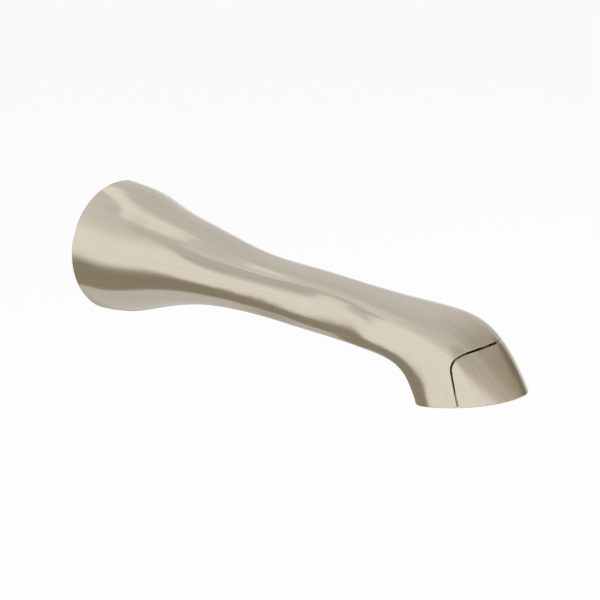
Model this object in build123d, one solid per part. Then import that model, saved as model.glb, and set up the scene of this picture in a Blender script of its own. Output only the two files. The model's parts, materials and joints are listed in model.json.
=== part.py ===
from build123d import *

import os
from math import atan2, cos, degrees, hypot, pi, radians, sin, sqrt

# Wall mounted bath spout with a pull-down diverter, as separate parts in millimetres.
# The wall is the plane Y = 0, the spout reaches out along -Y, and +Z is up.
# In the comments, reach is the distance from the wall and height is Z.

# Cast shell: the sections that it passes through, each one measured on from the one before
flange_radius = 30.0
bell_length = 14.0
bell_radius = 28.2
flare_length = 18.0
flare_radius = 22.9
throat_length = 23.0
throat_radius = 17.4
arm_length = 30.0
arm_drop = 1.95
arm_half_height = 12.85
arm_half_width = 12.75
neck_length = 33.0
neck_drop = 1.5
neck_half_height = 11.85
neck_half_width = 12.1
heel_length = 30.0
heel_drop = 1.6
heel_half_height = 11.5
heel_half_width = 12.6
heel_lean = 12.0
shoulder_length = 15.0
shoulder_drop = 0.6
shoulder_half_height = 13.3
shoulder_half_width = 15.6
shoulder_lean = 38.0
crown_length = 25.4
crown_drop = 4.55
crown_half_height = 16.7
crown_half_width = 18.4
crown_lean = 57.0
outlet_length = 14.6
outlet_drop = 17.5
outlet_half_length = 23.1
outlet_half_width = 18.2
outlet_tilt = 12.0

# Squareness of those sections: 2 is an ellipse, and more is nearer to a rectangle
flange_squareness = 2.0
flare_squareness = 2.05
throat_squareness = 2.25
arm_squareness = 2.8
neck_squareness = 3.4
heel_squareness = 3.5
shoulder_squareness = 3.4
crown_squareness = 3.4
outlet_squareness = 2.8
nose_squareness = 2.1
quarter_steps = 6
section_count = 25
wall = 2.4
flare_wall = 2.8
bell_wall = 3.6
rim_wall = 4.8
rim_round = 0.4

# Rim seal against the wall
gasket_width = 2.4
gasket_depth = 1.6

# Brass socket that slips over a half inch copper supply stub (15.9 mm outside)
supply_bore_radius = 8.05
socket_wall = 2.75
stub_depth = 44.0
stub_stop = 3.0
lead_in = 0.4
tube_insertion = 12.0
socket_flange_thickness = 3.5
socket_flange_room = 3.0
web_thickness = 5.0
o_ring_width = 2.4
o_ring_spacing = 5.5
o_ring_land = 3.0
supply_o_ring_inner = 7.85
supply_o_ring_outer = 9.6

# Set screw that grips the stub
set_screw_radius = 3.0
set_screw_length = 15.0
set_screw_hex = 1.7
set_screw_boss_wall = 2.2
set_screw_clearance = 0.1

# Water tube along the neck
tube_room = 3.1
tube_wall = 1.2
tube_low = 1.4
tube_bend_radius = 60.0
tube_straight = 4.0
tube_fit = 0.05
tube_seal = 1.0
tube_seal_width = 1.6
spigot_depth = 7.0
spigot_wall = 0.6

# Diverter slide and the parting line of the pull
slide_tilt = 16.0
travel = 6.0
seam_forward = 5.0
seam_top = 20.0
seam_gap = 0.6
seam_corner = 6.0
edge_round = 0.6
touch = 0.002

# Valve housing and seat
valve_setback = 10.0
housing_gap = 0.8
rear_bulge = 0.6
housing_wall = 1.5
flange_thickness = 2.5
post_radius = 2.6
post_gap = 0.4
housing_screw_reach = 9.0
seat_rise = 4.8
seat_lip_height = 1.0
seat_lip_width = 0.6
port_wall = 2.4
guide_fit = 0.05
seat_seal = 0.9
seat_seal_width = 1.6
hub_radius = 3.0
hub_rise = 2.6
spoke_width = 1.6
spoke_count = 3

# Poppet on its stem
arm_base = 4.0
lift_arm_thickness = 3.0
lift_arm_half_width = 3.0
lift_arm_end = 3.2
rest_gap = 0.3
seal_gap = 0.05
stem_radius = 2.0
stem_neck_radius = 1.5
stem_fit = 0.05
stem_tail = 1.7
stem_tip = 0.5
retainer_thickness = 1.0
retainer_radius = 5.0
seal_thickness = 1.6
seal_overlap = 0.4
disc_thickness = 1.8
nut_thickness = 1.6
nut_across_flats = 5.5
clip_thickness = 0.7
clip_groove_depth = 0.4
clip_radius = 3.0
clip_mouth = 1.6

# Return spring under the poppet
spring_wire = 0.7
spring_turns = 4.5
spring_clearance = 0.35
arcs_per_turn = 4

# Slide carrier behind the pull
carrier_gap = 0.6
carrier_thickness = 3.2
carrier_half_width = 7.5
carrier_top = 19.5
rail_clearance = 0.3
rail_wall = 1.8
rail_lip = 1.5
rail_lip_cover = 2.4
rail_root = 6.5
boss_radius = 2.4
boss_heights = (9.0, 16.0)

# Screws
screw_radius = 1.5
screw_head_radius = 2.5
screw_head_height = 2.0
small_screw_radius = 1.25
small_head_radius = 2.1
small_head_height = 1.6
small_screw_length = 6.0
recess_width = 0.7
recess_share = 0.6
screw_fit = 0.02
head_room = 0.2

# Long enough to cut through any part
through = 120.0

# Stations of the shell, as reach and height of each section's centre
bell_reach = bell_length
flare_reach = bell_reach + flare_length
throat_reach = flare_reach + throat_length
arm_reach = throat_reach + arm_length
neck_reach = arm_reach + neck_length
heel_reach = neck_reach + heel_length
shoulder_reach = heel_reach + shoulder_length
crown_reach = shoulder_reach + crown_length
outlet_reach = crown_reach + outlet_length
arm_height = -arm_drop
neck_height = arm_height - neck_drop
heel_height = neck_height - heel_drop
shoulder_height = heel_height - shoulder_drop
crown_height = shoulder_height - crown_drop
outlet_height = crown_height - outlet_drop

# One row each: reach, height, lean, half height, half width, squareness, wall
stations = [
    (0.0, 0.0, 0.0, flange_radius, flange_radius, flange_squareness, rim_wall),
    (bell_reach, 0.0, 0.0, bell_radius, bell_radius, flange_squareness, bell_wall),
    (flare_reach, 0.0, 0.0, flare_radius, flare_radius, flare_squareness, flare_wall),
    (throat_reach, 0.0, 0.0, throat_radius, throat_radius, throat_squareness, wall),
    (arm_reach, arm_height, 0.0, arm_half_height, arm_half_width, arm_squareness, wall),
    (neck_reach, neck_height, 0.0, neck_half_height, neck_half_width, neck_squareness, wall),
    (heel_reach, heel_height, heel_lean, heel_half_height, heel_half_width, heel_squareness, wall),
    (shoulder_reach, shoulder_height, shoulder_lean, shoulder_half_height, shoulder_half_width,
     shoulder_squareness, wall),
    (crown_reach, crown_height, crown_lean, crown_half_height, crown_half_width, crown_squareness, wall),
    (outlet_reach, outlet_height, 90.0 - outlet_tilt, outlet_half_length, outlet_half_width,
     outlet_squareness, wall),
]

# The upper half of each section turns into the front of the tip, and is rounder at the outlet
front_squareness = [row[5] for row in stations[:-1]] + [nose_squareness]

# How far along the spout each station lies, as a share of the whole way
station_ways = [0.0]
for row, following in zip(stations, stations[1:]):
    station_ways.append(station_ways[-1] + hypot(following[0] - row[0], following[1] - row[1]))
station_shares = [way / station_ways[-1] for way in station_ways]

# Cutters run this far past the faces that they open
overrun = 3.0

# Socket sizes that follow from the bore
socket_radius = supply_bore_radius + socket_wall
socket_flange_radius = flare_radius - flare_wall - socket_flange_room
socket_screw_circle = (socket_radius + socket_flange_radius) / 2
socket_head_radius = min(screw_head_radius, (socket_flange_radius - socket_radius) / 2 - head_room)
tube_stop_reach = stub_depth + stub_stop
socket_end_reach = tube_stop_reach + tube_insertion

# Tube line: level in the socket, then straight down the neck to the valve
tube_radius = heel_half_height - wall - tube_room
tube_bore = tube_radius - tube_wall
tube_bend_reach = socket_end_reach + tube_straight
tube_fall = tube_low - heel_height
tube_slope = degrees(atan2(tube_fall, heel_reach - tube_bend_reach))
seal_groove_radius = tube_radius + tube_seal

# Valve sizes that follow from the outlet, as distances from the valve axis
# The tip's rear wall bulges in above the outlet, which leaves less room there
chamber_radius = outlet_half_length - wall - valve_setback - housing_gap - rear_bulge
chamber_bore = chamber_radius - housing_wall
port_radius = chamber_bore - port_wall
post_offset = chamber_radius + post_gap + post_radius
seal_radius = port_radius + seat_lip_width + seal_overlap
disc_radius = seal_radius - seal_overlap / 2

# Valve stack, as heights along the slide axis above the outlet's middle
arm_top = arm_base + lift_arm_thickness
guide_base = arm_top + rest_gap
housing_base = guide_base + flange_thickness
seat_base = housing_base + seat_rise
seat_height = seat_base + seat_lip_height
seal_base = seat_height + travel + seal_gap
retainer_base = seal_base - retainer_thickness
disc_base = seal_base + seal_thickness
nut_base = disc_base + disc_thickness
stem_top = nut_base + nut_thickness + stem_tip
stem_base = arm_base - stem_tail
hub_top = housing_base + hub_rise

# Carrier depths, forward of the outlet's middle
carrier_rear = chamber_radius - valve_setback + carrier_gap
carrier_front = carrier_rear + carrier_thickness

# Local frames: the slide stands on the outlet's middle, and the valve stands behind it
slide_axis = (0, sin(radians(slide_tilt)), cos(radians(slide_tilt)))
slide = Plane(origin=(0, -outlet_reach, outlet_height), x_dir=(1, 0, 0), z_dir=slide_axis)
valve = slide.location * Pos(0, valve_setback, 0)


def smooth_line(values):
    """Return a function of the share along the spout, a cubic spline through the stations' values."""
    last = len(values) - 1
    steps = [after - before for before, after in zip(station_shares, station_shares[1:])]
    slopes = [(values[k + 1] - values[k]) / steps[k] for k in range(last)]
    carry = [0.0] * (last + 1)
    bend = [0.0] * (last + 1)
    for k in range(1, last):
        pivot = 2 * (steps[k - 1] + steps[k]) - steps[k - 1] * carry[k - 1]
        carry[k] = steps[k] / pivot
        bend[k] = (6 * (slopes[k] - slopes[k - 1]) - steps[k - 1] * bend[k - 1]) / pivot
    for k in range(last - 1, 0, -1):
        bend[k] -= carry[k] * bend[k + 1]

    def value(share):
        k = max(index for index in range(last) if index == 0 or station_shares[index] <= share)
        near = (share - station_shares[k]) / steps[k]
        far = 1 - near
        curve = (far**3 - far) * bend[k] + (near**3 - near) * bend[k + 1]
        return far * values[k] + near * values[k + 1] + curve * steps[k] ** 2 / 6

    return value


def section(top, bottom, half_width, rear, front, trim):
    """Return one closed cross-section between the top line and the bottom line, drawn in by the trim.

    The squareness of its upper half is the front's, and that of its lower half is the rear's.
    """
    upright = top - bottom
    half_height = upright.length / 2 - trim
    half_width = half_width - trim
    knots = [step / quarter_steps for step in range(quarter_steps + 1)]
    quarters = []
    for quarter in range(4):
        squareness = front if quarter < 2 else rear
        points = []
        for knot in knots:
            angle = (quarter + knot) * pi / 2
            across = abs(cos(angle) / half_width) ** squareness
            along = abs(sin(angle) / half_height) ** squareness
            radius = (across + along) ** (-1 / squareness)
            points.append((radius * cos(angle), radius * sin(angle), 0))
        first = quarter * pi / 2
        tangents = [(-sin(turn), cos(turn), 0) for turn in (first, first + pi / 2)]
        quarters.append(Edge.make_spline(points, tangents=tangents, parameters=knots))
    x_dir = Vector(1, 0, 0)
    plane = Plane(origin=(top + bottom) * 0.5, x_dir=x_dir, z_dir=x_dir.cross(upright))
    return plane * Face(Wire(quarters))


def spout_form(inset=None):
    """Return the spout's outside or, with an inset, its hollow drawn in from the wall by that much."""
    tops = []
    bottoms = []
    for reach, height, lean, half_height, *_ in stations:
        rise = half_height * cos(radians(lean))
        run = half_height * sin(radians(lean))
        tops.append((reach + run, height + rise))
        bottoms.append((reach - run, height - rise))
    columns = [*zip(*tops), *zip(*bottoms), *list(zip(*stations))[4:], front_squareness]
    lines = [smooth_line(values) for values in columns]
    faces = []
    for step in range(section_count):
        values = [line(step / (section_count - 1)) for line in lines]
        top = Vector(0, -values[0], values[1])
        bottom = Vector(0, -values[2], values[3])
        trim = 0.0 if inset is None else values[6] + inset
        faces.append(section(top, bottom, values[4], values[5], values[7], trim))
    return loft(faces)


def outer_form():
    """Return the spout's outside as one solid."""
    return spout_form()


def cavity(inset=0.0):
    """Return the spout's hollow, drawn in from its wall by the inset and open at both ends."""
    return spout_form(inset)


def rod(radius, base, top):
    """Return an upright cylinder between two heights."""
    return Pos(0, 0, base) * Cylinder(radius, top - base, align=(Align.CENTER, Align.CENTER, Align.MIN))


def tube(outer, inner, base, top):
    """Return an upright ring between two heights."""
    return rod(outer, base, top) - rod(inner, base, top)


def block(x_range, y_range, z_range):
    """Return a box between two corners."""
    size = [high - low for low, high in (x_range, y_range, z_range)]
    corner = (x_range[0], y_range[0], z_range[0])
    return Pos(*corner) * Box(*size, align=(Align.MIN, Align.MIN, Align.MIN))


def along_reach(shape):
    """Turn an upright shape so that its height becomes reach, with its own y upwards."""
    return Rot(90, 0, 0) * shape


def screw(head_radius, head_height, radius, length):
    """Return a round-head screw that points up, with its head under the origin and a cross recess."""
    body = rod(head_radius, -head_height, 0) + rod(radius, 0, length)
    slot = head_radius * recess_share
    depth = head_height * recess_share
    half = recess_width / 2
    for x_half, y_half in ((slot, half), (half, slot)):
        body -= block((-x_half, x_half), (-y_half, y_half), (-head_height, -head_height + depth))
    return body


def nose_block(gap):
    """Return the space of the pull, drawn in by the gap from the parting line."""
    front = seam_forward + gap
    top = seam_top - gap
    space = block((-through / 2, through / 2), (-through, -front), (-through, top))
    corner = space.edges().filter_by(Axis.X).sort_by(lambda e: e.center().Z + e.center().Y)[-1]
    return slide * fillet(corner, seam_corner - gap)


def side_places():
    """Return the two places beside the valve where the housing is screwed up."""
    return [valve * Pos(side * post_offset, 0, 0) for side in (-1, 1)]


def socket_screw_places():
    """Return the two screw places on the socket's flange, facing out from the wall."""
    rear = flare_reach - socket_flange_thickness
    return [Pos(side * socket_screw_circle, -rear, 0) * Rot(90, 0, 0) for side in (-1, 1)]


def make_shell():
    """Return the plain shell, before the pull is parted from it."""
    return outer_form() - cavity()


def lies_on(edge, faces):
    """Tell whether an edge's middle lies on one of the faces."""
    middle = Vertex(*(edge @ 0.5))
    return any(face.distance_to(middle) < touch for face in faces)


def round_edges(piece, form, gap):
    """Round the edges that the parting line and the outlet leave on a piece of the shell."""
    outlet = form.faces().filter_by(GeomType.PLANE).sort_by(Axis.Y)[0]
    cuts = [*nose_block(gap).faces(), outlet]
    edges = [edge for edge in piece.edges() if lies_on(edge, form.faces()) and lies_on(edge, cuts)]
    return fillet(edges, min(edge_round, wall / 3))


def round_rim(body, form):
    """Round the flange's outer edge at the wall."""
    rim = form.faces().filter_by(GeomType.PLANE).sort_by(Axis.Y)[-1].edges()
    return fillet([edge for edge in body.edges() if lies_on(edge, rim)], min(rim_round, rim_wall / 6))


def make_spout_body(shell, form):
    """Return the cast body with its web, posts, set screw boss and gasket groove."""
    web = along_reach(rod(flange_radius, flare_reach, flare_reach + web_thickness))
    boss_radius_outer = set_screw_radius + set_screw_boss_wall
    boss = Pos(0, -bell_reach, 0) * rod(boss_radius_outer, -through / 2, -socket_radius - rest_gap)
    ribs = web + boss
    for place in side_places():
        ribs += place * rod(post_radius, housing_base + flange_thickness, through / 2)
    body = shell - nose_block(0.0) + (ribs & form)
    body -= along_reach(rod(socket_radius + screw_fit, -overrun, flare_reach + web_thickness + overrun))
    body -= Pos(0, -bell_reach, 0) * rod(set_screw_radius + screw_fit, -through / 2, 0)
    for place in side_places():
        body -= place * rod(screw_radius + screw_fit, 0, guide_base + housing_screw_reach + flange_thickness)
    for place in socket_screw_places():
        depth = socket_flange_thickness + web_thickness - rest_gap
        body -= place * rod(screw_radius + screw_fit, 0, depth)
    groove_inner, groove_outer = gasket_radii()
    body -= along_reach(tube(groove_outer, groove_inner, -overrun, gasket_depth))
    return round_rim(round_edges(body, form, 0.0), form)


def gasket_radii():
    """Return the inner and outer radius of the rim seal, in the middle of the rim."""
    middle = flange_radius - rim_wall / 2
    return middle - gasket_width / 2, middle + gasket_width / 2


def make_wall_gasket():
    """Return the rim seal, flush with the wall plane."""
    inner, outer = gasket_radii()
    return along_reach(tube(outer, inner, 0, gasket_depth))


def o_ring_reaches():
    """Return where the two supply seals start, deep in the socket."""
    last = stub_depth - o_ring_land - o_ring_width
    return (last - o_ring_spacing, last)


def make_supply_socket():
    """Return the brass socket with its bore, seal grooves, flange and tube seat."""
    nose_radius = seal_groove_radius + socket_wall / 2
    flange_base = flare_reach - socket_flange_thickness
    body = rod(socket_radius, 0, tube_stop_reach) + rod(nose_radius, tube_stop_reach, socket_end_reach)
    body += rod(socket_flange_radius, flange_base, flare_reach)
    body -= rod(supply_bore_radius, 0, stub_depth)
    body -= rod(tube_bore, 0, socket_end_reach)
    body -= rod(tube_radius + tube_fit, tube_stop_reach, socket_end_reach)
    mouth = Cone(supply_bore_radius + lead_in, supply_bore_radius, lead_in)
    body -= Pos(0, 0, lead_in / 2) * mouth
    for start in o_ring_reaches():
        body -= rod(supply_o_ring_outer, start, start + o_ring_width)
    seal_start = tube_seal_reach()
    body -= rod(seal_groove_radius, seal_start, seal_start + tube_seal_width)
    body = along_reach(body)
    grip = set_screw_radius + set_screw_clearance
    body -= Pos(0, -bell_reach, 0) * rod(grip, -socket_radius - overrun, 0)
    for place in socket_screw_places():
        body -= place * rod(screw_radius + screw_fit, -overrun, socket_flange_thickness)
    return body


def tube_seal_reach():
    """Return where the rear tube seal starts, halfway along the tube's seat."""
    return tube_stop_reach + (tube_insertion - tube_seal_width) / 2


def seal_ring(inner, outer, width):
    """Return a seal squeezed between two walls, with eased edges, standing on its place."""
    edge = min(width, outer - inner) / 4
    ring = tube(outer, inner, 0, width)
    return chamfer(ring.edges(), edge)


def make_supply_o_rings():
    """Return the two seals that close on the copper stub."""
    width = o_ring_width
    ring = seal_ring(supply_o_ring_inner, supply_o_ring_outer, width)
    return [along_reach(Pos(0, 0, start) * ring) for start in o_ring_reaches()]


def make_set_screw():
    """Return the hex socket set screw, tip up, in its boss under the rim."""
    tip = -supply_bore_radius - rest_gap
    point = set_screw_radius / 2
    body = rod(set_screw_radius, tip - set_screw_length, tip - point)
    body += Pos(0, 0, tip - point / 2) * Cone(set_screw_radius, point, point)
    drive = Pos(0, 0, tip - set_screw_length) * RegularPolygon(set_screw_hex, 6)
    body -= extrude(drive, set_screw_radius)
    return Pos(0, -bell_reach, 0) * body


def make_socket_screws():
    """Return the two screws that hold the socket to the web."""
    length = socket_flange_thickness + web_thickness - 2 * rest_gap
    one = screw(socket_head_radius, screw_head_height, screw_radius, length)
    return [place * one for place in socket_screw_places()]


def tube_direction():
    """Return the sloping run's direction, down and out."""
    slope = radians(tube_slope)
    return Vector(0, -cos(slope), -sin(slope))


def tube_corner():
    """Return the point where the level run and the sloping run meet."""
    return Vector(0, -tube_bend_reach, 0)


def inlet_point():
    """Return the point where the tube's line crosses the valve axis."""
    axis = Vector(*slide_axis)
    base = valve.position - tube_corner()
    along = tube_direction()
    share = (base.Y * axis.Z - base.Z * axis.Y) / (along.Y * axis.Z - along.Z * axis.Y)
    return tube_corner() + along * share


def inlet_frame():
    """Return a frame on the tube's line at the spigot's stop, facing back up the tube."""
    stop = inlet_point() - tube_direction() * (chamber_radius + spigot_wall)
    return Plane(origin=stop, x_dir=(1, 0, 0), z_dir=-tube_direction())


def make_water_tube():
    """Return the tube from the socket to the valve, level and then sloping."""
    start = Vector(0, -tube_stop_reach, 0)
    end = inlet_frame().origin
    path = FilletPolyline(start, tube_corner(), end, radius=tube_bend_radius)
    mouth = Plane(origin=start, x_dir=(1, 0, 0), z_dir=(0, -1, 0))
    outer = sweep(mouth * Circle(tube_radius), path=path)
    inner = sweep(mouth * Circle(tube_bore), path=path)
    return outer - inner


def make_rear_tube_o_ring():
    """Return the seal between the tube and the socket."""
    ring = seal_ring(tube_radius, seal_groove_radius, tube_seal_width)
    return along_reach(Pos(0, 0, tube_seal_reach()) * ring)


def front_seal_base():
    """Return how far back from the spigot's stop the front tube seal starts."""
    return (spigot_depth - tube_seal_width) / 2


def make_front_tube_o_ring():
    """Return the seal between the tube and the valve housing."""
    ring = seal_ring(tube_radius, seal_groove_radius, tube_seal_width)
    return inlet_frame().location * (Pos(0, 0, front_seal_base()) * ring)


def ear_plate(base, top):
    """Return the oval flange that both the housing and the seat guide have."""
    plate = rod(chamber_radius, base, top)
    bridge = block((-post_offset, post_offset), (-post_radius, post_radius), (base, top))
    plate += bridge
    for side in (-1, 1):
        plate += Pos(side * post_offset, 0, 0) * rod(post_radius, base, top)
    return plate


def ear_holes(base, top):
    """Return the screw holes of the oval flange."""
    hole = rod(screw_radius + screw_fit, base, top)
    return [Pos(side * post_offset, 0, 0) * hole for side in (-1, 1)]


def make_rails():
    """Return the two channels that guide the carrier, in the slide's frame."""
    inner = carrier_half_width + rail_clearance
    lip_base = carrier_front + rail_clearance
    lip_top = lip_base + rail_lip
    rails = []
    for side in (-1, 1):
        x_wall = sorted((side * inner, side * (inner + rail_wall)))
        x_lip = sorted((side * (inner - rail_lip_cover), side * (inner + rail_wall)))
        web = block(x_wall, (-lip_top, rail_root), (housing_base, carrier_top))
        lip = block(x_lip, (-lip_top, -lip_base), (housing_base, carrier_top))
        rails.append(web + lip)
    return rails


def make_valve_housing():
    """Return the chamber with its inlet spigot, flange and slide rails, under the shell's crown."""
    inlet = inlet_frame().location
    room = cavity(housing_gap)
    chamber_room = cavity(housing_gap + housing_wall)
    body = rod(chamber_radius, housing_base, through / 2)
    body = valve * (body + ear_plate(housing_base, housing_base + flange_thickness))
    for rail in make_rails():
        body += slide * rail
    spigot_radius = seal_groove_radius + spigot_wall
    body += inlet * rod(spigot_radius, -chamber_radius, spigot_depth)
    body = body & room
    body -= (valve * rod(chamber_bore, housing_base - overrun, through / 2)) & chamber_room
    body -= inlet * rod(tube_bore, -chamber_radius, spigot_depth)
    body -= inlet * rod(tube_radius + tube_fit, 0, through)
    seal_base_here = front_seal_base()
    body -= inlet * rod(seal_groove_radius, seal_base_here, seal_base_here + tube_seal_width)
    for hole in ear_holes(housing_base - overrun, housing_base + flange_thickness + overrun):
        body -= valve * hole
    return body


def make_seat_guide():
    """Return the seat with its port, lip, stem guide and flange, pushed up into the housing."""
    plug = rod(chamber_bore - guide_fit, housing_base, seat_base)
    plug += rod(port_radius + seat_lip_width, seat_base, seat_height)
    body = (valve * ear_plate(guide_base, housing_base)) & cavity(housing_gap)
    body += valve * plug
    body -= valve * rod(port_radius, guide_base - overrun, seat_height + overrun)
    groove = seat_groove_base()
    body -= valve * tube(chamber_radius, chamber_bore - seat_seal, groove, groove + seat_seal_width)
    hub = rod(hub_radius, guide_base, hub_top)
    spoke_side = spoke_width / 2
    spoke = block((0, port_radius + guide_fit), (-spoke_side, spoke_side), (guide_base, housing_base))
    for step in range(spoke_count):
        hub += Rot(0, 0, 90 + 360 * step / spoke_count) * spoke
    hub -= rod(stem_radius + stem_fit, guide_base - overrun, hub_top + overrun)
    body += valve * hub
    for hole in ear_holes(guide_base - overrun, housing_base + overrun):
        body -= valve * hole
    return body


def seat_groove_base():
    """Return where the seat guide's seal starts, halfway up its plug."""
    return housing_base + (seat_rise - seat_seal_width) / 2


def make_seat_o_ring():
    """Return the seal between the seat guide and the housing."""
    ring = seal_ring(chamber_bore - seat_seal, chamber_bore, seat_seal_width)
    return valve * (Pos(0, 0, seat_groove_base()) * ring)


def make_housing_screws():
    """Return the two screws that hold the seat guide and the housing up to the posts."""
    one = screw(screw_head_radius, screw_head_height, screw_radius, flange_thickness + housing_screw_reach)
    return [place * (Pos(0, 0, guide_base) * one) for place in side_places()]


def make_diverter_pull(shell, form):
    """Return the nose of the spout that is pulled down, with two bosses behind it."""
    pull = shell & nose_block(seam_gap)
    for height in boss_heights:
        boss = Pos(0, -carrier_front, height) * Rot(90, 0, 0) * rod(boss_radius, 0, through)
        pull += (slide * boss) & form
    for height in boss_heights:
        hole = rod(small_screw_radius + screw_fit, 0, small_screw_length + rest_gap)
        pull -= slide * (Pos(0, -carrier_front, height) * Rot(90, 0, 0) * hole)
    return round_edges(pull, form, seam_gap)


def carrier_screw_seat():
    """Return how far forward the carrier screws' heads sit."""
    return carrier_rear + small_head_height + head_room


def make_pull_carrier():
    """Return the slide plate with the lift arm that reaches under the valve stem."""
    side = carrier_half_width
    plate = block((-side, side), (-carrier_front, -carrier_rear), (arm_base, carrier_top))
    arm_rear = valve_setback + lift_arm_end
    arm = block((-lift_arm_half_width, lift_arm_half_width), (-carrier_front, arm_rear), (arm_base, arm_top))
    body = plate + arm
    stem_hole = rod(stem_neck_radius + screw_fit, arm_base - overrun, arm_top + overrun)
    body -= Pos(0, valve_setback, 0) * stem_hole
    for height in boss_heights:
        place = Pos(0, -carrier_screw_seat(), height) * Rot(90, 0, 0)
        body -= place * rod(small_screw_radius + screw_fit, -carrier_thickness, carrier_thickness)
        body -= place * rod(small_head_radius + head_room, -through, 0)
    return slide * body


def make_carrier_screws():
    """Return the two screws that hold the pull to the carrier."""
    grip = carrier_front - carrier_screw_seat()
    one = screw(small_head_radius, small_head_height, small_screw_radius, grip + small_screw_length)
    return [slide * (Pos(0, -carrier_screw_seat(), height) * Rot(90, 0, 0) * one) for height in boss_heights]


def make_valve_stem():
    """Return the stem, thinner through the lift arm and through the poppet, with a clip groove."""
    body = rod(stem_neck_radius, stem_base, arm_top) + rod(stem_radius, arm_top, retainer_base)
    body += rod(stem_neck_radius, retainer_base, stem_top)
    groove = tube(stem_radius, stem_neck_radius - clip_groove_depth, arm_base - clip_thickness, arm_base)
    return valve * (body - groove)


def make_seal_retainer():
    """Return the washer that carries the seal and takes the spring."""
    return valve * tube(retainer_radius, stem_neck_radius + screw_fit, retainer_base, seal_base)


def make_seal_washer():
    """Return the rubber washer that closes on the seat."""
    return valve * tube(seal_radius, stem_neck_radius + screw_fit, seal_base, disc_base)


def make_valve_disc():
    """Return the stiff disc that backs the seal."""
    disc = rod(disc_radius, disc_base, nut_base)
    disc = chamfer(disc.faces().sort_by(Axis.Z)[-1].edges(), disc_thickness / 2)
    return valve * (disc - rod(stem_neck_radius + screw_fit, disc_base, nut_base))


def make_disc_nut():
    """Return the hex nut on top of the poppet."""
    corner = nut_across_flats / sqrt(3)
    nut = extrude(Pos(0, 0, nut_base) * RegularPolygon(corner, 6), nut_thickness)
    return valve * (nut - rod(stem_neck_radius + screw_fit, nut_base, nut_base + nut_thickness))


def make_stem_clip():
    """Return the snap clip that holds the stem down on the lift arm."""
    base = arm_base - clip_thickness
    inner = stem_neck_radius - clip_groove_depth
    clip = tube(clip_radius, inner + screw_fit, base, arm_base)
    clip -= block((-clip_mouth / 2, clip_mouth / 2), (0, through), (base, arm_base))
    return valve * clip


def spring_radius():
    """Return the radius of the wire's centre line, clear of the hub."""
    return hub_radius + spring_clearance + spring_wire / 2


def helix_point(turn, rise_start, pitch):
    """Return the point and the unit tangent of the wire's centre line after so many turns."""
    radius = spring_radius()
    angle = 2 * pi * turn
    point = Vector(radius * cos(angle), radius * sin(angle), rise_start + pitch * turn)
    tangent = Vector(-2 * pi * radius * sin(angle), 2 * pi * radius * cos(angle), pitch)
    return point, tangent.normalized()


def biarc(start, start_tangent, end, end_tangent):
    """Return two arcs from one point and tangent to the next, meeting smoothly."""
    chord = end - start
    sum_tangent = start_tangent + end_tangent
    square = 2 * (1 - start_tangent.dot(end_tangent))
    lean = chord.dot(sum_tangent)
    reach = (-lean + sqrt(lean * lean + square * chord.dot(chord))) / square
    meet = (start + end + (start_tangent - end_tangent) * reach) * 0.5
    first = TangentArc(start, meet, tangent=start_tangent)
    return [first, TangentArc(meet, end, tangent=first % 1)]


def make_return_spring():
    """Return the coil between the stem guide's spokes and the seal retainer."""
    low = housing_base + spring_wire / 2
    rise = retainer_base - housing_base - spring_wire
    pitch = rise / spring_turns
    steps = int(spring_turns * arcs_per_turn)
    knots = [helix_point(step / arcs_per_turn, low, pitch) for step in range(steps + 1)]
    arcs = []
    for (start, start_tangent), (end, end_tangent) in zip(knots, knots[1:]):
        arcs += biarc(start, start_tangent, end, end_tangent)
    path = Wire([edge for arc in arcs for edge in arc.edges()])
    end_face = Plane(origin=knots[0][0], z_dir=knots[0][1]) * Circle(spring_wire / 2)
    coil = sweep(end_face, path=path)
    print("return spring least gap to itself", round(pitch - spring_wire, 2), "mm")
    wire_volume = path.length * pi * spring_wire**2 / 4
    print("return spring volume", round(coil.volume, 2), "of", round(wire_volume, 2))
    return valve * coil


def main():
    """Build every part and write one file for each node."""
    os.makedirs("parts", exist_ok=True)
    form = outer_form()
    shell = make_shell()
    parts = {
        "spout_body": make_spout_body(shell, form),
        "wall_gasket": make_wall_gasket(),
        "supply_socket": make_supply_socket(),
        "socket_screws": make_socket_screws(),
        "supply_o_rings": make_supply_o_rings(),
        "set_screw": make_set_screw(),
        "water_tube": make_water_tube(),
        "rear_tube_o_ring": make_rear_tube_o_ring(),
        "front_tube_o_ring": make_front_tube_o_ring(),
        "valve_housing": make_valve_housing(),
        "seat_guide": make_seat_guide(),
        "seat_o_ring": make_seat_o_ring(),
        "housing_screws": make_housing_screws(),
        "diverter_pull": make_diverter_pull(shell, form),
        "pull_carrier": make_pull_carrier(),
        "carrier_screws": make_carrier_screws(),
        "valve_stem": make_valve_stem(),
        "seal_retainer": make_seal_retainer(),
        "seal_washer": make_seal_washer(),
        "valve_disc": make_valve_disc(),
        "disc_nut": make_disc_nut(),
        "stem_clip": make_stem_clip(),
        "return_spring": make_return_spring(),
    }
    for name, shape in parts.items():
        solids = shape if isinstance(shape, list) else [shape]
        found = [solid for piece in solids for solid in piece.solids()]
        print(name, len(found), "solid", round(sum(solid.volume for solid in found), 1), "mm3")
        export_step(Compound(found), f"parts/{name}.step")


main()
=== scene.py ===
import json
import math

import bmesh
import bpy
import numpy as np
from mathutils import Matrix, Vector
from mathutils.bvhtree import BVHTree


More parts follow.
